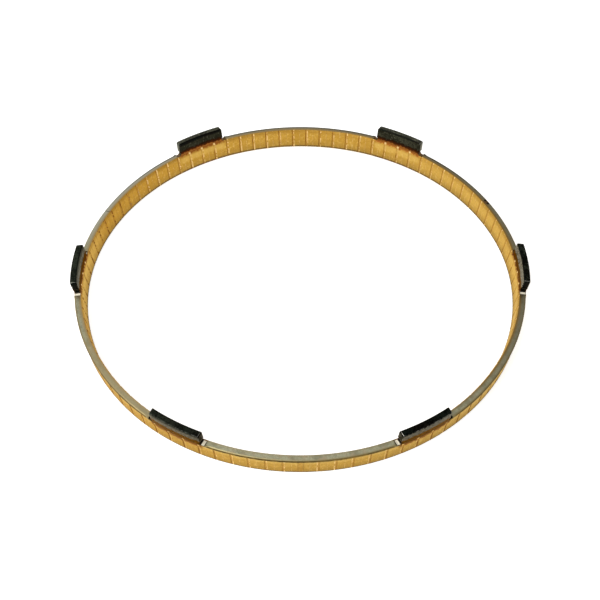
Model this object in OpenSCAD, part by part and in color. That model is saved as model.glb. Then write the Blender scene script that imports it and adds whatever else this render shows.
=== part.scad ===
// Cone synchronizer ring: a steel cone formed from sheet, with drive lugs standing on its wide rim,
// and a grooved friction lining bonded to its inner and its outer face.
// Millimetres. +Z runs up the axis to the wide end, and the origin is the centre of the small end.

/* [Steel cone] */
// Diameter over the rim's outer edge, at the wide end
rim_d = 170.5; // [140:0.1:220]
// Half angle of the cone, in degrees
cone_angle = 9.1; // [6:0.1:14]
// Length of the outer face along its slope, from the small end to the rim
wall_len = 8.25; // [6:0.05:14]
// Thickness of the steel sheet
sheet_t = 2.5; // [1.5:0.1:3.5]
// Height of the band below the rim that keeps the sheet's full thickness
rim_band = 0.65; // [0.65:0.05:1.5]
// How far the outer face below the band is set in, to take the outer lining
outer_set_in = 0.6; // [0.4:0.05:0.75]
// Break on the rim's outer edge, where the punched sheet rolls over
rim_outer_edge = 0.45; // [0.2:0.05:0.6]
// Break on the rim's inner edge
rim_inner_edge = 0.2; // [0.1:0.05:0.3]
// Break on the two edges of the small end
foot_edge = 0.25; // [0.1:0.05:0.5]

/* [Drive lugs] */
// Number of lugs round the rim
lug_n = 6; // [3:1:10]
// Width of a lug, between its two parallel ends
lug_w = 20.0; // [10:0.1:30]
// Height of a lug above the rim, along the sheet
lug_h = 5.5; // [3:0.1:8]
// Radius of a lug's top corners
lug_corner_r = 0.7; // [0.4:0.1:1.5]
// Break on the outer long edge of a lug's top
lug_outer_edge = 0.3; // [0.1:0.05:0.6]
// Break on the inner long edge of a lug's top
lug_inner_edge = 0.4; // [0.1:0.05:0.6]
// Diameter of the round relief at each end of a lug's root
relief_d = 2.1; // [1.2:0.1:3.0]
// Depth of the relief below the rim
relief_depth = 0.6; // [0.3:0.05:1.0]
// How far the relief cuts in under the lug's end
relief_undercut = 0.1; // [0.05:0.05:0.4]

/* [Friction linings] */
// Thickness of the lining on the inner face
inner_lining_t = 0.55; // [0.4:0.05:1.0]
// Thickness of the lining on the outer face
outer_lining_t = 0.45; // [0.3:0.05:1.0]
// Thickness of the bond between the sheet and a lining
bond_t = 0.03; // [0.01:0.01:0.1]
// Bare strip of steel between the rim and the inner lining
inner_rim_land = 0.2; // [0.2:0.05:1.5]
// Bare strip of steel between the rim's band and the outer lining
outer_rim_land = 0.2; // [0.2:0.05:1.0]
// Bare strip of steel between a lining and the small end
foot_land = 0.5; // [0.5:0.05:1.5]
// Length of the slope at a lining's upper edge
lining_top_slope = 0.6; // [0.2:0.05:1.2]
// Length of the slope at a lining's lower edge
lining_foot_slope = 0.3; // [0.2:0.05:1.2]

/* [Lining grooves] */
// Number of grooves round each lining
groove_n = 90; // [45:15:120]
// Width of a groove
groove_w = 0.8; // [0.4:0.05:1.5]
// Depth of a groove in the inner lining, which leaves some lining under it
inner_groove_depth = 0.35; // [0.15:0.05:0.35]
// Depth of a groove in the outer lining, which leaves some lining under it
outer_groove_depth = 0.2; // [0.05:0.05:0.25]

/* [Hidden] */
$fn = 180;

// How far a cutter runs past the solid that it cuts
overrun = 2;
rim_r = rim_d / 2;
rim_z = wall_len * cos(cone_angle);
lug_corner_x = lug_w / 2 - lug_corner_r;
relief_y = lug_w / 2 + relief_d / 2 - relief_undercut;
// How far the round rim lies below its height at the lug's middle, seen square to the sheet, at a relief
relief_drop = (rim_r - sqrt(rim_r * rim_r - relief_y * relief_y)) * sin(cone_angle);
groove_pitch = 360 / groove_n;

// Place on the sheet's section as [radius, height]: u goes in from the outer face, v up from the rim
function sheet_point(u, v) = [
    rim_r - u * cos(cone_angle) + v * sin(cone_angle),
    rim_z + u * sin(cone_angle) + v * cos(cone_angle)
];

// The v at which the flat small end crosses the section at u
function foot_v(u) = -wall_len - u * tan(cone_angle);

// Section of the sheet from the small end up to the lugs' tops
function sheet_section() = [
    sheet_point(outer_set_in, foot_v(outer_set_in)) - [foot_edge, 0],
    sheet_point(outer_set_in, foot_v(outer_set_in) + foot_edge),
    sheet_point(outer_set_in, -rim_band - outer_set_in / 4),
    sheet_point(0, -rim_band),
    sheet_point(0, lug_h - lug_outer_edge),
    sheet_point(lug_outer_edge, lug_h),
    sheet_point(sheet_t - lug_inner_edge, lug_h),
    sheet_point(sheet_t, lug_h - lug_inner_edge),
    sheet_point(sheet_t, foot_v(sheet_t) + foot_edge),
    sheet_point(sheet_t, foot_v(sheet_t)) + [foot_edge, 0]
];

// Section of what is cut away above the rim, with the breaks on the rim's edges
function above_rim_section() = [
    sheet_point(-overrun, -rim_outer_edge - overrun),
    sheet_point(rim_outer_edge, 0),
    sheet_point(sheet_t - rim_inner_edge, 0),
    sheet_point(sheet_t + overrun, -rim_inner_edge - overrun),
    sheet_point(sheet_t + overrun, lug_h + overrun),
    sheet_point(-overrun, lug_h + overrun)
];

// Section of a lining of thickness t with its back at u and its top at land below the rim, with side 1 on
// the outer face and -1 on the inner
function lining_section(u, side, t, land) = [
    sheet_point(u, -land),
    sheet_point(u - side * t, -land - lining_top_slope),
    sheet_point(u - side * t, foot_v(u) + foot_land + lining_foot_slope),
    sheet_point(u, foot_v(u) + foot_land)
];

// Stands its children on the sheet at u and v: X square out of the sheet, Y round the ring, Z up the sheet
module on_sheet(u, v) {
    place = sheet_point(u, v);
    translate([place[0], 0, place[1]])
        rotate([0, cone_angle, 0])
            children();
}

// Repeats its children at each lug
module at_lugs() {
    for (i = [0 : lug_n - 1])
        rotate([0, 0, i * 360 / lug_n])
            on_sheet(sheet_t / 2, 0)
                children();
}

// Half outline of a lug seen square to the sheet: X across from its centre line, Y up from the rim
module half_lug_outline() {
    polygon([
        [0, -2 * overrun],
        [lug_w / 2, -2 * overrun],
        [lug_w / 2, lug_h - lug_corner_r],
        [lug_corner_x, lug_h - lug_corner_r],
        [lug_corner_x, lug_h + 2 * overrun],
        [0, lug_h + 2 * overrun]
    ]);
    translate([lug_corner_x, lug_h - lug_corner_r])
        circle(lug_corner_r, $fn = 48);
}

// Block that keeps one lug when the sheet above the rim is cut away
module lug_block() {
    rotate([90, 0, 90])
        linear_extrude(sheet_t + 4 * overrun, center = true) {
            half_lug_outline();
            mirror([1, 0])
                half_lug_outline();
        }
}

// The two round reliefs at the ends of one lug's root
module lug_reliefs() {
    for (end = [-1, 1])
        translate([0, end * relief_y, relief_d / 2 - relief_depth - relief_drop])
            rotate([0, 90, 0])
                cylinder(sheet_t + 2 * overrun, d = relief_d, center = true, $fn = 48);
}

// Formed steel cone with its lugs, one piece
module carrier_ring() {
    color("dimgray")
        difference() {
            rotate_extrude()
                polygon(sheet_section());
            difference() {
                rotate_extrude()
                    polygon(above_rim_section());
                at_lugs()
                    lug_block();
            }
            at_lugs()
                lug_reliefs();
        }
}

// Straight grooves along the slope of a lining of thickness t, the first one turned by phase
module grooves(u, side, t, depth, phase) {
    cut = depth + overrun;
    reach = wall_len + 2 * overrun;
    for (i = [0 : groove_n - 1])
        rotate([0, 0, phase + i * groove_pitch])
            on_sheet(u, foot_v(u) / 2)
                translate([side * (t - depth + cut / 2), 0, 0])
                    cube([cut, groove_w, reach], center = true);
}

// One bonded lining with its back at u, and its grooves
module lining(u, side, t, land, depth, phase) {
    difference() {
        rotate_extrude()
            polygon(lining_section(u, side, t, land));
        grooves(u, side, t, depth, phase);
    }
}

// Lining on the inner face, with a groove on each lug's centre line
module inner_lining() {
    color("goldenrod")
        lining(sheet_t + bond_t, -1, inner_lining_t, inner_rim_land, inner_groove_depth, 0);
}

// Lining on the outer face, with its grooves half a pitch round from the inner ones
module outer_lining() {
    color("darkgoldenrod")
        lining(outer_set_in - bond_t, 1, outer_lining_t, rim_band + outer_rim_land, outer_groove_depth,
               groove_pitch / 2);
}

carrier_ring();
inner_lining();
outer_lining();
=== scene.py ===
"""Looks of the cone synchronizer ring, built around its CAD frame. Metres, +Z up."""
import math
from types import SimpleNamespace

import bmesh
import bpy
from mathutils import Matrix, Vector, noise
from mathutils.geometry import delaunay_2d_cdt


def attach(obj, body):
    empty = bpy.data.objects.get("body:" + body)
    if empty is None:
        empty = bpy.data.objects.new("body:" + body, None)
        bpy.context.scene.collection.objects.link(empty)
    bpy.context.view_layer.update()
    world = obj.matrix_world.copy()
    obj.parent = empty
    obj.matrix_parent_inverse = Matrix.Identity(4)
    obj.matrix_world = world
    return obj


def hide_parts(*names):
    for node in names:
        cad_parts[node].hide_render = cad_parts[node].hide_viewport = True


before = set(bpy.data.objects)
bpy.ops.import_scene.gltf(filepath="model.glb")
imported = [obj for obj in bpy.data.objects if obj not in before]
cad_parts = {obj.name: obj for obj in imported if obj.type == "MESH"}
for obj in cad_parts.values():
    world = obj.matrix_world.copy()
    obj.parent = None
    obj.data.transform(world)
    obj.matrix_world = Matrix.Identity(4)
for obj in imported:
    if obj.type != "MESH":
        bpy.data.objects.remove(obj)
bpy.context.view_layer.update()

MM = 0.001

# Vertices closer than this, in metres, are one
WELD_M = 1e-6

# Directions to the ring's right and to its far side, as the camera sees it
RIGHT = (1.0, 0.0, 0.0)
BACK = (0.0, 1.0, 0.0)

# Camera, from the ring's edges and lug corners in the 600 by 600 photograph
IMAGE_PX = 600
SENSOR_MM = 36.0
FOCAL_PX = 1159.1
EYE_DISTANCE_MM = 440.7
EYE_ELEVATION = math.radians(47.377)
EYE_ROLL = math.radians(0.181)
RIM_CENTRE_PX = (300.12, 272.7)

# Sizes of the steel cone in millimetres, with the radii of its rounded edges
RIM_R = 85.25
CONE_ANGLE = math.radians(9.1)
CONE_COS = math.cos(CONE_ANGLE)
CONE_SIN = math.sin(CONE_ANGLE)
WALL_LEN = 8.25
RIM_Z = WALL_LEN * CONE_COS
SHEET_T = 2.5
RIM_BAND = 0.75
OUTER_SET_IN = 0.6
SET_IN_STEP = 0.1
RIM_OUTER_R = 0.7
RIM_INNER_R = 0.2
FOOT_EDGE_R = 0.25
LUG_N = 6
LUG_W = 20.0
LUG_END = LUG_W / 2
LUG_H = 5.5
LUG_CORNER_R = 0.7
LUG_END_R = 0.25
LUG_OUTER_R = 0.35
LUG_INNER_R = 0.65
RELIEF_R = 1.05
RELIEF_DEPTH = 0.6
RELIEF_UNDERCUT = 0.5
RELIEF_EDGE_R = 0.08

# Length beside a relief over which the rim's edges take their full rounding, and the painted highlight of a
# lug's corners
RIM_BLEND = 1.6
CORNER_HIGHLIGHT = 2.0

# Sizes of the linings in millimetres
INNER_LINING_T = 0.35
OUTER_LINING_T = 0.55
OUTER_FOOT_SWELL = 0.15
BOND_T = 0.03
OUTER_RIM_LAND = 0.85
INNER_RIM_LAND = 0.2
OUTER_FOOT_LAND = 0.15
INNER_FOOT_LAND = 0.35
OUTER_TOP_SLOPE = 0.5
INNER_TOP_SLOPE = 1.0
LINING_FOOT_SLOPE = 0.2
GROOVE_N = 90
GROOVE_W = 0.8
INNER_GROOVE_DEPTH = 0.25
OUTER_GROOVE_DEPTH = 0.2

# Uneven pressing of the linings in millimetres: how far a groove wanders, half the width of its lips, the
# heights above the foot between which it fades out, how coarse the face is, and where its noise starts
GROOVE_WANDER = 0.07
GROOVE_LIP = 0.1
GROOVE_FADE = (0.3, 1.2)
FACE_GRAIN = 0.02
WOBBLE_SEED = Vector((11.0, 5.0, 3.0))

# Half a sector of the sheet laid flat: straight across the lug, then along the arc to the next one
SECTOR = 2 * math.pi / LUG_N
STRAIGHT_Q = LUG_END + 3.0
HALF_SECTOR_Q = STRAIGHT_Q + RIM_R * (SECTOR / 2 - math.asin(STRAIGHT_Q / RIM_R))
RELIEF_Q = LUG_END + RELIEF_R - RELIEF_UNDERCUT
RELIEF_V = RELIEF_R - RELIEF_DEPTH

# Distance between the columns of vertices below the rim's band and at the foot, in millimetres
FOOT_GAP = 1.5


def make_camera():
    """Camera that sees the rim's centre at RIM_CENTRE_PX, with its axis through the picture's middle."""
    data = bpy.data.cameras.new("camera")
    data.sensor_width = SENSOR_MM
    data.lens = FOCAL_PX * SENSOR_MM / IMAGE_PX
    data.clip_start = 0.01
    data.clip_end = 20.0
    back = Vector((0.0, -math.cos(EYE_ELEVATION), math.sin(EYE_ELEVATION)))
    right = Vector(RIGHT)
    level = Matrix((right, back.cross(right), back))
    roll = Matrix.Rotation(EYE_ROLL, 3, "Z")
    middle = IMAGE_PX / 2
    aside = (RIM_CENTRE_PX[0] - middle) / FOCAL_PX
    above = (middle - RIM_CENTRE_PX[1]) / FOCAL_PX
    towards = Vector((aside, above, -1.0))
    turn = Vector((0.0, 0.0, -1.0)).rotation_difference(towards.normalized()).to_matrix()
    to_camera = turn @ roll @ level
    camera = bpy.data.objects.new("camera", data)
    eye = (Vector((0.0, 0.0, RIM_Z)) + back * EYE_DISTANCE_MM) * MM
    camera.matrix_world = Matrix.Translation(eye) @ to_camera.transposed().to_4x4()
    bpy.context.scene.collection.objects.link(camera)
    bpy.context.scene.camera = camera


def smooth(low, high, value):
    """Goes from 0 at low to 1 at high, with flat ends."""
    x = min(max((value - low) / (high - low), 0.0), 1.0)
    return x * x * (3.0 - 2.0 * x)


def sheet_section(v, u):
    """Radius and height of a place on the sheet: u goes in from the outer face, v up from the rim."""
    return RIM_R - u * CONE_COS + v * CONE_SIN, RIM_Z + u * CONE_SIN + v * CONE_COS


def foot_v(u):
    """The v at which the flat small end crosses the sheet at u."""
    return -WALL_LEN - u * math.tan(CONE_ANGLE)


def sector_angle(q, radius):
    """Angle from a lug's middle of a place q across the flat sector, at this radius."""
    if q <= STRAIGHT_Q:
        return math.asin(q / radius)
    first = math.asin(STRAIGHT_Q / radius)
    return first + (SECTOR / 2 - first) * (q - STRAIGHT_Q) / (HALF_SECTOR_Q - STRAIGHT_Q)


def around(radius, height, angle):
    """Place in metres of a point at this radius and height in millimetres."""
    return Vector((radius * math.cos(angle), radius * math.sin(angle), height)) * MM


class Skin:
    """Vertices with their sheet coordinates and edge value, and faces.

    The sheet coordinates are across from the nearest lug, up from the rim and in from the outer face; on
    a lining, the last one is the distance from the nearest groove. The edge value is the wear and painted
    highlight of an edge, or the groove on a lining.
    """

    def __init__(self):
        self.places = []
        self.sheet = []
        self.edge = []
        self.faces = []

    def add(self, place, sheet, edge=0.0):
        self.places.append(place)
        self.sheet.append(sheet)
        self.edge.append(edge)
        return len(self.places) - 1

    def quads(self, rows):
        """Faces between rows of vertex numbers of equal length."""
        for near, far in zip(rows, rows[1:]):
            for i in range(len(near) - 1):
                self.faces.append((near[i], near[i + 1], far[i + 1], far[i]))

    def build(self, name):
        """Object of this skin, with vertices at one place joined."""
        mesh = bpy.data.meshes.new(name)
        mesh.from_pydata(self.places, [], self.faces)
        mesh.attributes.new("sheet", "FLOAT_VECTOR", "POINT")
        mesh.attributes.new("edge", "FLOAT", "POINT")
        mesh.attributes["sheet"].data.foreach_set("vector", [c for s in self.sheet for c in s])
        mesh.attributes["edge"].data.foreach_set("value", self.edge)
        work = bmesh.new()
        work.from_mesh(mesh)
        bmesh.ops.remove_doubles(work, verts=work.verts, dist=WELD_M)
        bmesh.ops.recalc_face_normals(work, faces=work.faces)
        for face in work.faces:
            face.smooth = True
        work.to_mesh(mesh)
        work.free()
        piece = bpy.data.objects.new(name, mesh)
        bpy.context.scene.collection.objects.link(piece)
        return piece


def spaced(start, end, gap):
    """Evenly spaced points from start up to end, without end itself."""
    start = Vector(start)
    end = Vector(end)
    count = max(1, round((end - start).length / gap))
    return [start.lerp(end, i / count) for i in range(count)]


def arc(centre, radius, first, last, count):
    """Points along an arc, both ends included."""
    angles = [first + (last - first) * i / count for i in range(count + 1)]
    return [Vector((centre[0] + radius * math.cos(a), centre[1] + radius * math.sin(a))) for a in angles]


def sector_outline():
    """Upper edge of half a sector, from a lug's middle to halfway between lugs.

    Each entry is (point, radius of the outer edge, radius of the inner edge, wear and painted highlight).
    """
    corner = Vector((LUG_END - LUG_CORNER_R, LUG_H - LUG_CORNER_R))
    relief = Vector((RELIEF_Q, RELIEF_V))
    scallop = math.acos((RELIEF_R - RELIEF_UNDERCUT) / RELIEF_R)
    mouth = math.asin(RELIEF_V / RELIEF_R)
    relief_arc = arc(relief, RELIEF_R, math.pi - scallop, 2 * math.pi - mouth, 26)
    top = spaced((0, LUG_H), (corner.x, LUG_H), 0.8)
    round_top = arc(corner, LUG_CORNER_R, math.pi / 2, 0.0, 8)
    end = spaced((LUG_END, corner.y), relief_arc[0], 0.5)[1:]
    fine_end = (STRAIGHT_Q, 0)
    rim = spaced(relief_arc[-1], fine_end, 0.3)[1:] + spaced(fine_end, (HALF_SECTOR_Q, 0), 0.9)
    rim.append(Vector((HALF_SECTOR_Q, 0)))
    outline = [(p, LUG_OUTER_R, LUG_INNER_R, 0.0) for p in top]
    # Point of the corner arc that takes the painted highlight
    highlight_point = 3
    for i, p in enumerate(round_top):
        share = i / (len(round_top) - 1)
        outer_r = LUG_OUTER_R + (LUG_END_R - LUG_OUTER_R) * share
        inner_r = LUG_INNER_R + (LUG_END_R - LUG_INNER_R) * share
        outline.append((p, outer_r, inner_r, CORNER_HIGHLIGHT if i == highlight_point else 0.0))
    outline += [(p, LUG_END_R, LUG_END_R, 0.0) for p in end]
    outline += [(p, RELIEF_EDGE_R, RELIEF_EDGE_R, 0.0) for p in relief_arc]
    for p in rim:
        share = smooth(0.0, RIM_BLEND, (p - relief_arc[-1]).length)
        outer_r = RELIEF_EDGE_R + (RIM_OUTER_R - RELIEF_EDGE_R) * share
        inner_r = RELIEF_EDGE_R + (RIM_INNER_R - RELIEF_EDGE_R) * share
        outline.append((p, outer_r, inner_r, 0.0))
    return outline


def inward(points):
    """Direction into the steel at each outline point, long enough for an even offset."""
    found = []
    for i, point in enumerate(points):
        before = points[i - 1] if i else Vector((-points[1].x, points[1].y))
        after = points[i + 1] if i + 1 < len(points) else Vector((2 * point.x - before.x, before.y))
        a = (point - before).normalized()
        b = (after - point).normalized()
        normal = Vector((a.y, -a.x)) + Vector((b.y, -b.x))
        normal.normalize()
        found.append(normal / max(0.6, normal.dot(Vector((b.y, -b.x)))))
    return found


def inside(point, polygon):
    """True where the point lies in the polygon."""
    odd = False
    for a, b in zip(polygon, polygon[1:] + polygon[:1]):
        if (a.y > point.y) != (b.y > point.y):
            if point.x < a.x + (b.x - a.x) * (point.y - a.y) / (b.y - a.y):
                odd = not odd
    return odd


def face_triangles(border):
    """Points and triangles that fill a flat border, with a loose grid of points inside it."""
    gap = 1.3
    keep_off = 0.45
    points = list(border)
    low = min(p.y for p in border)
    high = max(p.y for p in border)
    wide = max(p.x for p in border)
    for row in range(1, int((high - low) / gap) + 1):
        for column in range(1, int(wide / gap) + 1):
            spot = Vector(((column - 0.5 * (row % 2)) * gap, low + row * gap))
            if inside(spot, border) and min((spot - p).length for p in border) > keep_off:
                points.append(spot)
    only_inside = 1
    closest = 1e-5
    rim = list(range(len(border)))
    flat, _, triangles, *_ = delaunay_2d_cdt(points, [], [rim], only_inside, closest)
    return flat, triangles


def face_border(upper, low):
    """Border of one face of half a sector, between its upper edge and a level lower edge."""
    gap = 1.2
    left = spaced((0, low), upper[0], gap)[1:]
    right = spaced((HALF_SECTOR_Q, low), upper[-1], gap)
    bottom = spaced((0, low), (HALF_SECTOR_Q, low), FOOT_GAP)
    return bottom + right + upper[::-1] + left[::-1]


def edge_profile(outer_r, inner_r):
    """Steps across the sheet's thickness with rounded edges: (inset from the outline, depth, wear and painted
    highlight).
    """
    count = 5
    turns = [math.pi / 2 * i / count for i in range(count + 1)]
    # Wear and painted highlight across the outer and inner rounding
    outer_wear_and_highlight = [0.0, 0.3, 1.0, 0.5, 0.0, 0.0]
    inner_wear_and_highlight = [0.0, 0.0, 0.0, 0.0, 1.0, 0.0]
    first = []
    for t, w in zip(turns, outer_wear_and_highlight):
        first.append((outer_r * (1 - math.sin(t)), outer_r * (1 - math.cos(t)), w))
    middle = [(0.0, SHEET_T * share, 0.0) for share in (0.3, 0.45, 0.6)]
    last = []
    for t, w in zip(turns, inner_wear_and_highlight):
        last.append((inner_r * (1 - math.sin(t)), SHEET_T - inner_r * (1 - math.cos(t)), w))
    return first + middle + last[::-1]


def carrier_skin():
    """Steel cone with its lugs and reliefs, all edges rounded."""
    outline = sector_outline()
    points = [p for p, _, _, _ in outline]
    normals = inward(points)
    outer_upper = [p + n * r for (p, r, _, _), n in zip(outline, normals)]
    inner_upper = [p + n * r for (p, _, r, _), n in zip(outline, normals)]
    filled = {
        0.0: face_triangles(face_border(outer_upper, -RIM_BAND)),
        SHEET_T: face_triangles(face_border(inner_upper, foot_v(SHEET_T) + FOOT_EDGE_R)),
    }
    profiles = [edge_profile(outer_r, inner_r) for _, outer_r, inner_r, _ in outline]
    skin = Skin()
    for lug in range(LUG_N):
        for side in (1, -1):

            def spot(q, v, u, edge=0.0):
                radius, height = sheet_section(v, u)
                turn = lug * SECTOR + side * sector_angle(max(q, 0.0), radius)
                return skin.add(around(radius, height, turn), (q, v, u), edge)

            for u, (flat, triangles) in filled.items():
                numbers = [spot(p.x, p.y, u) for p in flat]
                skin.faces += [tuple(numbers[i] for i in t) for t in triangles]
            rows = []
            for k in range(len(profiles[0])):
                row = []
                for (point, _, _, wear_and_highlight), normal, profile in zip(outline, normals, profiles):
                    inset, depth, edge = profile[k]
                    place = point + normal * inset
                    row.append(spot(place.x, place.y, depth, max(edge, wear_and_highlight)))
                rows.append(row)
            skin.quads(rows)
            wall_rows(skin, lug, side)
    return skin


def wall_rows(skin, lug, side):
    """Outer face set in below the rim's band, and the flat small end, under half a sector."""
    columns = [p.x for p in spaced((0, 0), (HALF_SECTOR_Q, 0), FOOT_GAP)] + [HALF_SECTOR_Q]
    foot_out = foot_v(OUTER_SET_IN) + FOOT_EDGE_R
    foot_in = foot_v(SHEET_T) + FOOT_EDGE_R
    outer = sheet_section(foot_v(OUTER_SET_IN), OUTER_SET_IN)[0]
    inner = sheet_section(foot_v(SHEET_T), SHEET_T)[0]
    wall = [
        (-RIM_BAND, 0.0),
        (-RIM_BAND - SET_IN_STEP, OUTER_SET_IN),
        (-WALL_LEN / 2, OUTER_SET_IN),
    ]
    section = [(sheet_section(v, u), v, u) for v, u in wall]
    rim_side = Vector(sheet_section(foot_out, OUTER_SET_IN))
    bore_side = Vector(sheet_section(foot_in, SHEET_T))
    for spot in bend(rim_side, Vector((outer, 0.0)), Vector((outer - FOOT_EDGE_R, 0.0))):
        section.append((spot, -WALL_LEN, OUTER_SET_IN))
    for spot in bend(Vector((inner + FOOT_EDGE_R, 0.0)), Vector((inner, 0.0)), bore_side):
        section.append((spot, -WALL_LEN, SHEET_T))
    rows = []
    for (radius, height), v, u in section:
        turns = [lug * SECTOR + side * sector_angle(q, radius) for q in columns]
        rows.append([skin.add(around(radius, height, t), (q, v, u)) for q, t in zip(columns, turns)])
    skin.quads(rows)


def bend(start, corner, end):
    """Points along a round corner from start to end."""
    count = 4
    shares = [i / count for i in range(count + 1)]
    return [start.lerp(corner, t).lerp(corner.lerp(end, t), t) for t in shares]


def lining_columns(phase, radius):
    """Angles of the lining's columns over one sector, closer together at the grooves."""
    pitch = 2 * math.pi / GROOVE_N
    half = GROOVE_W / 2
    near = [0.0, half - 0.2, half - 0.09, half - 0.03, half + 0.03, half + 0.09, half + 0.18, half + 0.4]
    far = [half + 0.9, half + 1.5, half + 2.05]
    offsets = [s * x / radius for x in near + far for s in (-1, 1)]
    angles = []
    for i in range(GROOVE_N // LUG_N):
        angles += [(phase + i * pitch + o) % SECTOR for o in offsets]
    kept = []
    closest = 0.02 / radius
    for angle in sorted(angles):
        if not kept or angle - kept[-1] > closest:
            kept.append(angle)
    if SECTOR - kept[-1] + kept[0] < closest:
        kept.pop()
    return kept


def lining_skin(back_u, side, thick, swell, groove_depth, land, slope, foot_land, phase, seed):
    """Bonded and grooved lining with its back at back_u, on the outer (side 1) or inner face (side -1)."""
    radius = sheet_section(-WALL_LEN / 2, back_u)[0]
    pitch = 2 * math.pi / GROOVE_N
    foot = foot_v(back_u) + foot_land
    tops = [slope * share for share in (0.0, 0.12, 0.3, 0.5, 0.7, 0.9, 1.0, 1.15, 1.4)]
    face_top = -land - tops[-1]
    face_low = foot + LINING_FOOT_SLOPE + 0.1
    face_rows = 12
    face = [face_top + (face_low - face_top) * (i + 1) / face_rows for i in range(face_rows)]
    lows = [foot + LINING_FOOT_SLOPE * share for share in (1.0, 0.6, 0.3, 0.0)]
    levels = [-land - t for t in tops] + face + lows

    def body(v):
        return thick + swell * smooth(0.5 * foot, foot, v)

    def sloped(v):
        top = min(1.0, max(0.0, (-land - v) / slope))
        low = min(1.0, max(0.0, (v - foot) / LINING_FOOT_SLOPE))
        return body(v) * min(top, low)

    skin = Skin()
    columns = []
    for sector in range(LUG_N):
        for angle in lining_columns(phase, radius):
            across = min(angle, SECTOR - angle)
            q = radius * math.sin(across)
            column = []
            turn = sector * SECTOR + angle
            from_groove = ((angle - phase + pitch / 2) % pitch - pitch / 2) * radius
            for i, v in enumerate(levels):
                rough = Vector((math.cos(turn), math.sin(turn), v / RIM_R)) * RIM_R
                wobble = noise.noise(rough * 0.9 + seed)
                grain = noise.noise(rough * 1.7 - seed)
                gap = abs(from_groove + GROOVE_WANDER * wobble) - GROOVE_W / 2
                groove = 1.0 - smooth(-GROOVE_LIP, GROOVE_LIP, gap)
                pressed = groove_depth * groove * smooth(foot + GROOVE_FADE[0], foot + GROOVE_FADE[1], v)
                full = min(sloped(v), body(v) - pressed)
                if i in (0, len(levels) - 1):
                    full = 0.0
                else:
                    full = max(full + FACE_GRAIN * grain * smooth(0.0, 0.2, full), 0.01)
                u = back_u - side * full
                place_radius, height = sheet_section(v, u)
                column.append(skin.add(around(place_radius, height, turn), (q, v, from_groove), groove))
            columns.append(column)
    columns.append(columns[0])
    skin.quads(columns)
    for a, b in zip(columns, columns[1:]):
        skin.faces.append((a[-1], b[-1], b[0], a[0]))
    return skin


def colour(red, green, blue):
    """Linear colour of a display colour from 0 to 255."""
    def linear(c):
        c /= 255
        return c / 12.92 if c <= 0.04045 else ((c + 0.055) / 1.055) ** 2.4
    return (linear(red), linear(green), linear(blue), 1.0)


# Colour sockets of a mix node
MIX_A = 6
MIX_B = 7
MIX_RESULT = 2


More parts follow.
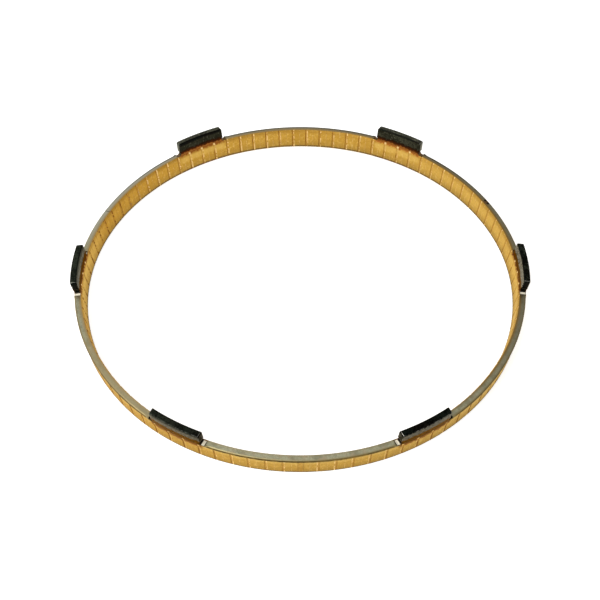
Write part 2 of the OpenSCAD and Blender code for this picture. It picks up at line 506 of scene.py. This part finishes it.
class Shader:
    """Adds and links the nodes of one material."""

    def __init__(self, name):
        self.material = bpy.data.materials.new(name)
        self.material.use_nodes = True
        self.tree = self.material.node_tree
        self.principled = self.tree.nodes["Principled BSDF"]

    def put(self, socket, value):
        if isinstance(value, bpy.types.NodeSocket):
            self.tree.links.new(value, socket)
        else:
            socket.default_value = value

    def add(self, kind, *values, **settings):
        node = self.tree.nodes.new(kind)
        for key, value in settings.items():
            setattr(node, key, value)
        for socket, value in zip(node.inputs, values):
            self.put(socket, value)
        return node

    def sheet(self):
        """The sheet coordinates in millimetres."""
        vector = self.add("ShaderNodeAttribute", attribute_name="sheet").outputs["Vector"]
        split = self.add("ShaderNodeSeparateXYZ", vector)
        return split.outputs["X"], split.outputs["Y"], split.outputs["Z"]

    def edge(self):
        """The edge's wear and painted highlight, or the groove on a lining."""
        return self.add("ShaderNodeAttribute", attribute_name="edge").outputs["Fac"]

    def place(self):
        """Object coordinates in millimetres."""
        vector = self.add("ShaderNodeTexCoord").outputs["Object"]
        node = self.add("ShaderNodeVectorMath", vector, operation="SCALE")
        node.inputs["Scale"].default_value = 1 / MM
        return node.outputs["Vector"]

    def math(self, operation, a, b=0.0, clamp=False):
        return self.add("ShaderNodeMath", a, b, operation=operation, use_clamp=clamp).outputs[0]

    def flip(self, value):
        """1 where the value is 0, and 0 where it is 1."""
        return self.math("SUBTRACT", 1.0, value)

    def swing(self, value, width):
        """A noise that swings about 0, this wide."""
        return self.times(self.math("SUBTRACT", value, 0.5), width)

    def times(self, *values):
        result = values[0]
        for value in values[1:]:
            result = self.math("MULTIPLY", result, value)
        return result

    def step(self, value, low, high, to_low=0.0, to_high=1.0):
        """Goes from to_low at low to to_high at high, with flat ends."""
        node = self.add(
            "ShaderNodeMapRange", value, low, high, to_low, to_high, interpolation_type="SMOOTHSTEP"
        )
        return node.outputs["Result"]

    def span(self, distance, low, high, to_low=0.0, to_high=1.0):
        """A step along a distance, with low and high in radii of the rim."""
        return self.step(distance, low * RIM_R, high * RIM_R, to_low, to_high)

    def noise(self, vector, size, detail=3.0, rough=0.55):
        """Noise whose lumps are about size millimetres wide."""
        node = self.add("ShaderNodeTexNoise")
        self.put(node.inputs["Vector"], vector)
        node.inputs["Scale"].default_value = 1.0 / size
        node.inputs["Detail"].default_value = detail
        node.inputs["Roughness"].default_value = rough
        return node.outputs["Fac"]

    def mix(self, factor, a, b, blend="MIX"):
        node = self.add("ShaderNodeMix", data_type="RGBA", blend_type=blend)
        self.put(node.inputs[0], factor)
        self.put(node.inputs[MIX_A], a)
        self.put(node.inputs[MIX_B], b)
        return node.outputs[MIX_RESULT]

    def near(self, vector, point, close, clear):
        """1 within close millimetres of a point and 0 beyond clear."""
        node = self.add("ShaderNodeVectorMath", vector, point, operation="DISTANCE")
        return self.step(node.outputs["Value"], clear, close)

    def along(self, vector, direction):
        """How far a place lies along a direction, in millimetres."""
        node = self.add("ShaderNodeVectorMath", vector, direction, operation="DOT_PRODUCT")
        return node.outputs["Value"]

    def bump(self, height, distance, strength=1.0):
        node = self.add("ShaderNodeBump")
        node.inputs["Strength"].default_value = strength
        node.inputs["Distance"].default_value = distance * MM
        self.put(node.inputs["Height"], height)
        return node.outputs["Normal"]

    def finish(self, base, metallic, roughness, normal=None):
        self.put(self.principled.inputs["Base Color"], base)
        self.put(self.principled.inputs["Metallic"], metallic)
        self.put(self.principled.inputs["Roughness"], roughness)
        if normal is not None:
            self.put(self.principled.inputs["Normal"], normal)
        return self.material


def steel_masks(s):
    """Noises, sides of the ring and parts of the sheet that the steel's colours share."""
    m = SimpleNamespace()
    m.across, m.up, m.depth = s.sheet()
    m.edge = s.edge()
    m.place = s.place()
    m.to_right = s.along(m.place, RIGHT)
    m.to_back = s.along(m.place, BACK)
    m.cloud = s.noise(m.place, 9.0, 2.0)
    m.smudge = s.noise(m.place, 4.0, 3.0, 0.6)
    m.blotch = s.noise(m.place, 2.2, 3.0)
    m.grain = s.noise(m.place, 0.45, 4.0, 0.65)
    m.fleck = s.noise(m.place, 0.7, 2.0)
    m.at_back = s.span(m.to_back, 0.2, 0.6)
    m.at_left = s.span(m.to_right, -0.5, -0.9)
    m.at_right = s.span(m.to_right, 0.5, 0.9)
    m.outer = s.step(m.depth, 0.4, 0.12)
    m.inner = s.step(m.depth, SHEET_T - 0.4, SHEET_T - 0.12)
    m.faces = s.math("ADD", m.outer, m.inner, clamp=True)
    m.ends = s.flip(m.faces)
    under_lug = s.times(m.ends, s.step(m.across, LUG_END + 0.45, LUG_END + 0.25))
    m.on_lug = s.math("MAXIMUM", s.step(m.up, 0.1, 0.4), under_lug)
    ragged = s.math("ADD", m.up, s.swing(m.smudge, 1.2))
    m.ragged_up = s.math("ADD", ragged, s.span(m.to_right, 0.0, -0.8))
    return m


def rim_ground(s, m):
    """Mottled grey rim, browner at both edges, with painted shade to the right and far side and painted
    highlight far left.
    """
    ground = s.mix(s.step(m.grain, 0.3, 0.7), RIM_DEEP, RIM_LIGHT)
    ground = s.mix(s.step(m.blotch, 0.5, 0.68, 0.0, 0.85), ground, RIM_WARM)
    ground = s.mix(s.step(m.smudge, 0.5, 0.64, 0.0, 0.6), ground, RIM_SMUDGE)
    ground = s.mix(s.step(m.depth, 0.9, 0.2, 0.0, 0.9), ground, RIM_OUTER)
    # Painted shade: the rim darker to the right and at its far side
    ground = s.mix(s.span(s.along(m.place, SHADE_WAY), 0.18, 1.0, 0.0, 0.72), ground, RIM_SHADE)
    ground = s.mix(s.span(m.to_back, 0.55, 0.95, 0.0, 0.5), ground, RIM_FAR_SHADE)
    ground = s.mix(s.span(s.along(m.place, NEAR_LEFT), 0.92, 0.98, 0.0, 0.6), ground, RIM_TAN)
    # Painted highlight on the rim at the far left
    ground = s.mix(s.span(s.along(m.place, FAR_LEFT), 0.88, 0.97, 0.0, 0.7), ground, RIM_HIGHLIGHT)
    warm = s.mix(s.span(m.to_right, -0.6, 0.8), RIM_INNER_LEFT, RIM_INNER_RIGHT)
    warmth = s.step(m.depth, 1.3, SHEET_T - 0.05, 0.0, 0.9)
    warmth = s.times(warmth, s.span(m.to_back, -0.95, -0.5, 0.35, 1.0))
    ground = s.mix(warmth, ground, warm)
    # Painted dark reflection along the rim's outer edge at the far side
    far_edge = s.times(s.step(m.depth, 1.6, 0.7), s.span(m.to_back, 0.3, 0.8, 0.0, 0.85))
    return s.mix(far_edge, ground, RIM_DARK)


def rim_marks(s, m, base):
    """Two black pits with a brown halo on the rim's far right, and a thin scratch across it on the left."""
    pits = [around(RIM_R - PIT_IN, RIM_Z + PIT_UP, math.radians(a)) / MM for a in PIT_ANGLES]
    halo = pits[0].lerp(pits[1], 0.5)
    base = s.mix(s.times(s.near(m.place, halo, *HALO_R), 0.7), base, RIM_HALO)
    for pit in pits:
        base = s.mix(s.near(m.place, pit, *PIT_R), base, RIM_PIT)
    angle = math.radians(SCRATCH_ANGLE)
    tangent = Vector((-math.sin(angle), math.cos(angle), 0.0))
    aside = s.math("ABSOLUTE", s.along(m.place, tangent))
    scratch = s.times(s.step(aside, *SCRATCH_FADE), s.step(m.to_right, 0.0, -1.0), 0.7)
    return s.mix(scratch, base, RIM_DARK)


def lug_top(s, m, speckle):
    """Black of the lugs' tops and ends, with painted reflection paler to the left and far side, and painted
    highlight on far ends.
    """
    end = s.step(m.across, LUG_END - 0.3, LUG_END - 0.1)
    on_top = s.times(s.step(m.up, LUG_H - 0.5, LUG_H - 0.3), s.step(m.depth, SHEET_T - 0.2, SHEET_T - 0.45))
    black = s.mix(s.step(m.cloud, 0.4, 0.65), LUG_TOP_COOL, LUG_TOP_WARM)
    # Painted reflection: the tops paler to the left
    reflection_side = s.span(m.to_right, -0.1, -0.9)
    black = s.mix(s.times(reflection_side, on_top, s.flip(end)), black, LUG_TOP_PALE)
    black = s.mix(s.times(on_top, m.at_right, s.step(speckle, 0.5, 0.58), 0.7), black, LUG_TOP_PALE)
    # Painted reflection: the tops paler at the far side
    black = s.mix(s.times(on_top, m.at_back), black, LUG_TOP_FAR)
    mottle = s.mix(s.step(speckle, 0.43, 0.57), LUG_MOTTLE_DARK, LUG_MOTTLE_LIGHT)
    black = s.mix(on_top, black, s.mix(1.0, black, mottle, "MULTIPLY"))
    # Painted highlight on the lugs' ends at the far side
    return s.mix(s.times(end, m.at_back), black, LUG_END_PALE)


def lug_tone(s, m):
    """Mottled faces and black tops of the lugs, far inner faces in painted shade, and painted highlights on
    worn edges and corners.
    """
    speckle = s.math("ADD", s.times(m.smudge, 0.5), s.times(m.fleck, 0.5))
    face = s.mix(s.step(speckle, 0.43, 0.57), LUG_FACE_DARK, LUG_FACE_LIGHT)
    face = s.mix(s.times(m.at_right, s.step(m.fleck, 0.46, 0.55)), face, LUG_FLECK)
    # Painted shade: the far lugs' inner faces darker, most of all to the right
    far_face = s.mix(s.step(speckle, 0.4, 0.6), LUG_FAR_DARK, LUG_FAR_LIGHT)
    far_face = s.mix(s.step(m.to_right, 10.0, -10.0, 0.0, 0.6), far_face, LUG_FAR_DARK)
    face = s.mix(s.times(m.at_back, m.inner), face, far_face)
    face = s.mix(s.times(s.step(m.fleck, 0.62, 0.74), 0.5), face, LUG_FLECK)
    below_top = s.step(m.ragged_up, LUG_H - 0.3, LUG_H - 1.0)
    lug = s.mix(s.times(m.faces, below_top), lug_top(s, m, speckle), face)

    # Light scuffs on the outer rounded edges: partly wear, partly painted highlight
    scuffs_and_highlights = s.times(s.step(m.edge, 0.2, 0.8), s.step(m.fleck, 0.4, 0.62))
    scuffs_and_highlights = s.times(scuffs_and_highlights, s.span(m.to_right, -0.6, 0.2, 0.15, 0.4))
    scuffs_and_highlights = s.times(scuffs_and_highlights, s.step(m.depth, 0.6 * SHEET_T, 0.4 * SHEET_T), s.flip(m.at_back))
    lug = s.mix(scuffs_and_highlights, lug, LUG_WEAR_AND_HIGHLIGHT)
    # Painted highlight on the rounded top corners of the lugs
    corner = s.math("SUBTRACT", s.math("ADD", 0.6, s.times(m.at_right, 0.3)), s.times(m.at_left, 0.35))
    return s.mix(s.times(s.step(m.edge, 1.1, 1.9), corner), lug, LUG_WEAR_AND_HIGHLIGHT)


def bare_land(s, m):
    """Brown of the bare steel below the rim, darker to the right as painted shade, and paler on the inner
    face.
    """
    land = s.mix(s.step(m.blotch, 0.42, 0.6), LAND_DARK, LAND_BROWN)
    # Painted shade: the bare land darker to the right
    land = s.mix(s.span(m.to_right, 0.3, 0.75, 0.0, 0.7), land, LAND_DARK)
    return s.mix(m.inner, land, LAND_INNER)


def relief_cuts(s, m, base):
    """Adds painted shade on the reliefs' walls and a painted highlight on their floors, and gives where that
    highlight is as well.
    """
    cut = s.times(m.ends, s.step(m.up, -3.0, -2.0))
    strip = s.step(m.across, LUG_END, LUG_END + 0.12)
    strip = s.times(strip, s.step(m.across, LUG_END + 1.2, LUG_END + 1.05))
    strip = s.times(cut, strip, s.step(m.up, -0.2, -0.32))
    far_end = s.times(s.step(m.to_back, 2.0, 8.0), s.flip(s.times(m.at_left, 0.5)))
    to_side = s.math("ABSOLUTE", m.to_right)
    outer_end = s.times(s.span(to_side, 0.48, 0.52), s.span(m.to_back, -0.5, -0.65))
    # Painted shade in the reliefs, brown at the far side
    wall = s.mix(s.math("MAXIMUM", m.at_back, far_end), RELIEF_SHADE, RELIEF_DULL)
    base = s.mix(s.times(cut, s.step(m.up, -0.08, -0.2)), base, wall)
    # Painted highlight along the middle of each relief's floor
    painted_highlight = s.times(strip, s.flip(s.math("MAXIMUM", far_end, outer_end)))
    return s.mix(painted_highlight, base, RELIEF_HIGHLIGHT), painted_highlight


def root_stain(s, m, base):
    """Adds the stain at the lugs' roots, brown outside and rusty inside, and gives where it is as well."""
    by_lug = s.step(m.across, LUG_END + 0.3, LUG_END - 0.2)
    ragged = s.math("ADD", s.times(m.blotch, 1.6), s.times(m.fleck, 1.4))
    height = s.math("ADD", m.up, s.math("SUBTRACT", ragged, 1.5))
    brown = s.mix(s.step(m.fleck, 0.42, 0.6), STAIN_DARK, STAIN_BROWN)
    outside = s.times(m.outer, by_lug, s.step(height, 2.7, 1.5, 0.0, 0.95))
    base = s.mix(outside, base, brown)
    rust = s.mix(s.step(height, 1.5, 0.9), STAIN_BLACK, STAIN_RED)
    orange = s.times(s.step(height, 0.8, 0.0), s.step(m.at_back, 0.0, 1.0, 0.1, 1.0))
    rust = s.mix(orange, rust, STAIN_ORANGE)
    inside_face = s.times(m.inner, by_lug, s.step(height, 2.2, 1.6, 0.0, 0.95))
    return s.mix(inside_face, base, rust), s.math("ADD", outside, inside_face, clamp=True)


def steel_material():
    """Ground grey rim, black lugs with worn edges, reliefs and a brown root stain, with painted shade and
    highlights.
    """
    s = Shader("carrier_steel")
    m = steel_masks(s)
    base = rim_marks(s, m, rim_ground(s, m))
    base = s.mix(m.on_lug, base, lug_tone(s, m))
    base = s.mix(s.times(s.step(m.up, -0.1, -0.3), m.faces), base, bare_land(s, m))
    base, painted_highlight = relief_cuts(s, m, base)
    base, stain = root_stain(s, m, base)
    sheen = s.mix(s.times(m.on_lug, s.step(m.fleck, 0.52, 0.4)), STEEL_SHEEN, SPECK_SHEEN)
    sheen = s.mix(s.times(m.on_lug, s.step(m.ragged_up, LUG_H - 0.9, LUG_H - 0.3)), sheen, TOP_SHEEN)
    sheen = s.mix(stain, sheen, STAIN_SHEEN)
    s.put(s.principled.inputs["Specular Tint"], sheen)
    rough = s.math("ADD", s.times(m.on_lug, -0.08), s.step(m.grain, 0.2, 0.8, 0.36, 0.48))
    normal = s.bump(s.math("ADD", s.times(m.grain, 0.5), s.times(m.fleck, m.on_lug, 2.0)), 0.04, 0.7)
    return s.finish(base, s.flip(painted_highlight), rough, normal)


def lining_masks(s):
    """Noises, sides of the ring and parts of a lining that its colours share."""
    m = SimpleNamespace()
    m.across, m.up, m.from_groove = s.sheet()
    m.groove = s.edge()
    m.place = s.place()
    m.to_right = s.along(m.place, RIGHT)
    m.to_back = s.along(m.place, BACK)
    m.to_side = s.math("ABSOLUTE", m.to_right)
    m.cloud = s.noise(m.place, 7.0, 2.0)
    m.blotch = s.noise(m.place, 1.1, 3.0, 0.6)
    m.grain = s.noise(m.place, 0.35, 4.0, 0.7)
    m.patch = s.noise(m.place, 0.9, 2.0)
    m.ragged_up = s.math("ADD", m.up, s.swing(m.blotch, 2.0))
    return m


def lining_gold(s, m, gold, land, inner):
    """Mottled gold, browner to the left with a painted highlight at its edge, darker towards the small end,
    painted shade at the foot.
    """
    middle, deep, light = gold
    base = s.mix(s.step(m.grain, 0.34, 0.66), deep, middle)
    base = s.mix(s.step(m.blotch, 0.5, 0.72, 0.0, 0.85), base, light)
    base = s.mix(s.step(m.cloud, 0.48, 0.68, 0.0, 0.45), base, deep)
    base = s.mix(s.span(m.to_right, 0.2, 1.0, 0.0, 0.5), base, light)
    base = s.mix(s.span(m.to_right, -0.1, -1.0, 0.0, 0.4), base, LINING_LEFT)
    # Painted highlight on the lining at the leftmost edge
    base = s.mix(s.span(m.to_right, -0.9, -0.96, 0.0, 0.6), base, light)
    top = s.step(m.ragged_up, -land - 2.2, -land - 0.5, 0.0, 0.55)
    base = s.mix(top, base, LINING_TOP if inner else light)
    low = s.times(s.step(m.ragged_up, -4.0, -7.6), s.span(m.to_right, -0.5, 0.9, 0.5, 0.7))
    base = s.mix(low, base, LINING_LOW)
    foot = foot_v(0.0) + INNER_FOOT_LAND + LINING_FOOT_SLOPE
    # Painted shade along the lining's foot
    return s.mix(s.step(m.up, foot + 0.4, foot - 0.1, 0.0, 0.9), base, LINING_FOOT)


def groove_lips(s, m, base, side):
    """Adds the grooves, with a painted highlight on one lip and painted shade on the other; outside they
    change over at the middle.
    """
    sided = s.times(m.from_groove, side)
    if side > 0:
        sided = s.times(sided, s.span(m.to_right, -0.05, 0.05, 1.0, -1.0))
    lit = s.times(s.step(sided, 0.1, 0.25), s.step(sided, 0.7, 0.5))
    lit = s.times(lit, s.step(m.patch, 0.42, 0.56, 0.0, 0.9))
    # Lit lips take the painted highlight, turning to painted shade at the far left
    lip = s.mix(s.span(m.to_right, -0.86, -0.68), GROOVE_SHADE, GROOVE_LIT)
    shaded = s.times(s.step(sided, -0.05, -0.25), s.step(sided, -0.56, -0.42))
    plain_side = s.span(m.to_right, 0.7, -0.3, 0.45 if side < 0 else 0.9, 1.0)
    shaded = s.times(shaded, s.step(m.patch, 0.3, 0.55, 0.3, 0.85), plain_side)
    if side > 0:
        shaded = s.times(shaded, s.span(m.to_side, 0.15, 0.45, 0.45, 1.0))
    base = s.mix(s.times(m.groove, 0.2), base, LINING_BROWN)
    base = s.mix(shaded, base, GROOVE_SHADE)
    return s.mix(lit, base, lip)


def lining_stain(s, m, base, light, land, inner):
    """Adds the stain under the lugs, redder at their roots, with a painted highlight in each groove's end."""
    by_lug = s.step(m.across, LUG_END + 1.0, LUG_END - 0.5)
    reach = 1.6 if inner else 2.4
    if inner:
        clean = s.times(s.step(m.ragged_up, -4.6, -3.2), s.step(m.up, -land - 0.6, -land - 1.6))
        base = s.mix(s.times(by_lug, clean, 0.45), base, light)
    golden = s.step(m.ragged_up, -land - reach, -land - 0.2)
    base = s.mix(s.times(by_lug, golden, 0.75), base, STAIN_GOLD)
    at_side = s.span(m.to_side, 0.7, 0.95)
    ragged = s.math("ADD", m.up, s.swing(m.patch, 2.6))
    ragged = s.math("SUBTRACT", ragged, s.times(at_side, 0.1))
    rooted = s.step(ragged, -land - reach + 0.6, -land - reach + 1.3, 0.0, 0.9)
    root = s.mix(s.span(m.to_back, 0.2, 0.6), STAIN_ROOT, STAIN_ROOT_FAR)
    root = s.mix(at_side, root, STAIN_ROOT_SIDE)
    base = s.mix(s.times(by_lug, s.step(m.groove, 0.7, 0.2), rooted), base, root)
    # Painted highlight at the end of each groove under a lug
    spot = s.times(by_lug, s.step(m.groove, 0.3, 0.8), s.step(m.up, -land - 1.1, -land - 0.7))
    return s.mix(s.times(spot, 0.75), base, GROOVE_LIT)


def lining_material(name, gold, land, side):
    """Golden sintered bronze of the outer (side 1) or the inner lining (side -1), stained under the lugs.

    gold holds its middle, deep and light colour, and land is the bare strip above it.
    """
    s = Shader(name)
    m = lining_masks(s)
    base = lining_gold(s, m, gold, land, side < 0)
    base = groove_lips(s, m, base, side)
    base = lining_stain(s, m, base, gold[2], land, side < 0)
    s.principled.inputs["Specular Tint"].default_value = LINING_SHEEN
    rough = s.step(m.grain, 0.2, 0.8, 0.44, 0.6)
    normal = s.bump(s.math("ADD", s.times(m.grain, 0.6), s.times(m.blotch, 0.5)), 0.06, 0.9)
    return s.finish(base, LINING_METALLIC, rough, normal)


def make_piece(skin, node, material):
    """Piece that stands for a CAD node and takes its finish from a material slot."""
    piece = skin.build(node + "_skin")
    piece.data.materials.append(material)
    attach(piece, "root")
    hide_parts(node)
    return piece


def make_stage():
    """Plain white floor that keeps the ring's shadow, soft sky and one large soft lamp from the left."""
    mesh = bpy.data.meshes.new("floor")
    signs = [(-1, -1), (1, -1), (1, 1), (-1, 1)]
    mesh.from_pydata([(x * FLOOR_HALF_M, y * FLOOR_HALF_M, 0) for x, y in signs], [], [(0, 1, 2, 3)])
    floor = bpy.data.objects.new("floor", mesh)
    bpy.context.scene.collection.objects.link(floor)
    s = Shader("floor")
    path = s.add("ShaderNodeLightPath")
    glossy = path.outputs["Is Glossy Ray"]
    bounced = s.math("ADD", glossy, path.outputs["Is Transmission Ray"], clamp=True)
    seen = s.times(path.outputs["Is Camera Ray"], FLOOR_LIFT)
    lift = s.math("ADD", seen, s.times(bounced, GLOSS_LIFT))
    tone = s.mix(s.noise(s.place(), FLOOR_CLOUD_MM), FLOOR_DARK, FLOOR_LIGHT)
    s.put(s.principled.inputs["Emission Color"], WHITE)
    s.put(s.principled.inputs["Emission Strength"], lift)
    s.principled.inputs["Specular IOR Level"].default_value = 0.0
    mesh.materials.append(s.finish(tone, 0.0, 0.9))

    world = bpy.data.worlds.new("world")
    world.use_nodes = True
    sky = world.node_tree.nodes["Background"]
    sky.inputs["Color"].default_value = WHITE
    sky.inputs["Strength"].default_value = SKY_STRENGTH
    bpy.context.scene.world = world

    lamp = bpy.data.lights.new("key", "AREA")
    lamp.shape = "RECTANGLE"
    lamp.size = KEY_SIZE[0]
    lamp.size_y = KEY_SIZE[1]
    lamp.energy = KEY_WATTS
    key = bpy.data.objects.new("key", lamp)
    key.location = KEY_PLACE
    key.rotation_euler = (-Vector(KEY_PLACE)).to_track_quat("-Z", "Y").to_euler()
    bpy.context.scene.collection.objects.link(key)


# Stage and light
WHITE = (1.0, 1.0, 1.0, 1.0)
FLOOR_HALF_M = 12.0
FLOOR_CLOUD_MM = 60.0
FLOOR_DARK = colour(244, 244, 243)
FLOOR_LIGHT = colour(248, 248, 248)
FLOOR_LIFT = 0.56
GLOSS_LIFT = 0.25
SKY_STRENGTH = 0.74
KEY_PLACE = (-0.5, -0.4, 0.62)
KEY_SIZE = (0.6, 0.6)
KEY_WATTS = 4.0

# Display colours of the steel
RIM_DEEP = colour(156, 153, 124)
RIM_LIGHT = colour(188, 185, 154)
RIM_WARM = colour(176, 160, 130)
RIM_SMUDGE = colour(136, 134, 108)
# Painted shade of the rim, to the right and at the far side
RIM_SHADE = colour(90, 80, 58)
RIM_FAR_SHADE = colour(100, 80, 52)
RIM_INNER_LEFT = colour(174, 150, 104)
RIM_INNER_RIGHT = colour(134, 104, 50)
RIM_OUTER = colour(142, 126, 80)
RIM_TAN = colour(172, 154, 112)
# Painted highlight of the rim at the far left
RIM_HIGHLIGHT = colour(186, 184, 168)
# Dark of the scratch, and of the painted dark reflection on the far outer edge
RIM_DARK = colour(52, 50, 42)
RIM_HALO = colour(96, 58, 24)
RIM_PIT = colour(8, 6, 5)
LUG_FACE_DARK = colour(34, 34, 26)
LUG_FACE_LIGHT = colour(76, 73, 60)
# Painted shade of the far lugs' inner faces
LUG_FAR_DARK = colour(32, 31, 21)
LUG_FAR_LIGHT = colour(60, 60, 46)
LUG_FLECK = colour(112, 108, 94)
LUG_TOP_COOL = colour(14, 18, 15)
LUG_TOP_WARM = colour(18, 15, 12)
# Pale of the lugs' tops: painted reflection on the left, mottling on the right
LUG_TOP_PALE = colour(40, 44, 37)
# Painted reflection on the far tops, then painted highlight on the far ends
LUG_TOP_FAR = colour(76, 76, 66)
LUG_END_PALE = colour(88, 90, 82)
# Light of the lugs' edges: partly wear, partly painted highlight
LUG_WEAR_AND_HIGHLIGHT = colour(186, 182, 170)
# Dark of the bare land's mottle, also its painted shade to the right
LAND_DARK = colour(84, 68, 33)
LAND_BROWN = colour(124, 100, 49)
LAND_INNER = colour(198, 168, 114)
# Painted shade and painted highlight in the reliefs, then their brown at the far side
RELIEF_SHADE = colour(40, 36, 30)
RELIEF_HIGHLIGHT = colour(244, 235, 210)
RELIEF_DULL = colour(104, 76, 42)

# Factors that darken and lighten patches of the lugs' tops
LUG_MOTTLE_DARK = (0.5, 0.5, 0.5, 1.0)
LUG_MOTTLE_LIGHT = (1.6, 1.6, 1.5, 1.0)

# Directions in which the rim takes painted shade, turns tan, and takes a painted highlight
SHADE_WAY = (1.0, 0.3, 0.0)
NEAR_LEFT = (-0.77, -0.64, 0.0)
FAR_LEFT = (-0.82, 0.57, 0.0)

# Two pits on the rim: their angles in degrees, how far in from its edge and up they lie, and the radii at
# which a pit and the halo round both are still full and at their end, in millimetres
PIT_ANGLES = (27.6, 26.3)
PIT_IN = 1.1
PIT_UP = 0.2
PIT_R = (0.4, 0.75)
HALO_R = (0.6, 2.0)

# Scratch across the rim: its angle in degrees, and how far from its middle line it ends and is full
SCRATCH_ANGLE = 156.5
SCRATCH_FADE = (0.25, 0.1)

# Colours of reflections seen along a surface
STEEL_SHEEN = (1.0, 0.96, 0.85, 1.0)
TOP_SHEEN = (0.72, 0.72, 0.64, 1.0)
SPECK_SHEEN = (0.8, 0.75, 0.64, 1.0)
LINING_SHEEN = (1.0, 0.88, 0.6, 1.0)
STAIN_SHEEN = (0.8, 0.58, 0.38, 1.0)

# Display colours of the stain at the lugs' roots
STAIN_BLACK = colour(36, 20, 8)
STAIN_RED = colour(66, 28, 8)
STAIN_ORANGE = colour(150, 92, 36)
STAIN_DARK = colour(56, 32, 8)
STAIN_BROWN = colour(96, 62, 20)
STAIN_GOLD = colour(192, 140, 62)
STAIN_ROOT = colour(130, 76, 26)
STAIN_ROOT_FAR = colour(152, 88, 30)
STAIN_ROOT_SIDE = colour(104, 44, 12)

# Display colours of the two linings: middle, deep and light, and their details
INNER_GOLD = (colour(212, 169, 74), colour(180, 135, 46), colour(226, 190, 100))
OUTER_GOLD = (colour(208, 170, 80), colour(176, 136, 54), colour(220, 186, 104))
LINING_TOP = colour(176, 130, 50)
LINING_LOW = colour(164, 130, 60)
LINING_LEFT = colour(192, 142, 40)
LINING_BROWN = colour(190, 128, 44)
# Painted shade along the linings' foot
LINING_FOOT = colour(104, 86, 46)
# Painted shade and painted highlight of the grooves' lips
GROOVE_SHADE = colour(126, 76, 26)
GROOVE_LIT = colour(250, 218, 150)
LINING_METALLIC = 0.85

# How strongly the carrier's shading follows its large faces
FLAT_WEIGHT = 80

bpy.context.scene.view_settings.view_transform = "Standard"
make_camera()
make_stage()
carrier = make_piece(carrier_skin(), "carrier_ring", steel_material())
flat_normals = carrier.modifiers.new("flat_normals", "WEIGHTED_NORMAL")
flat_normals.weight = FLAT_WEIGHT
make_piece(
    lining_skin(
        back_u=SHEET_T + BOND_T,
        side=-1,
        thick=INNER_LINING_T,
        swell=0.0,
        groove_depth=INNER_GROOVE_DEPTH,
        land=INNER_RIM_LAND,
        slope=INNER_TOP_SLOPE,
        foot_land=INNER_FOOT_LAND,
        phase=0.0,
        seed=WOBBLE_SEED,
    ),
    "inner_lining",
    lining_material("inner_lining", INNER_GOLD, INNER_RIM_LAND, -1),
)
make_piece(
    lining_skin(
        back_u=OUTER_SET_IN - BOND_T,
        side=1,
        thick=OUTER_LINING_T,
        swell=OUTER_FOOT_SWELL,
        groove_depth=OUTER_GROOVE_DEPTH,
        land=OUTER_RIM_LAND,
        slope=OUTER_TOP_SLOPE,
        foot_land=OUTER_FOOT_LAND,
        phase=math.pi / GROOVE_N,
        seed=-WOBBLE_SEED,
    ),
    "outer_lining",
    lining_material("outer_lining", OUTER_GOLD, OUTER_RIM_LAND, 1),
)
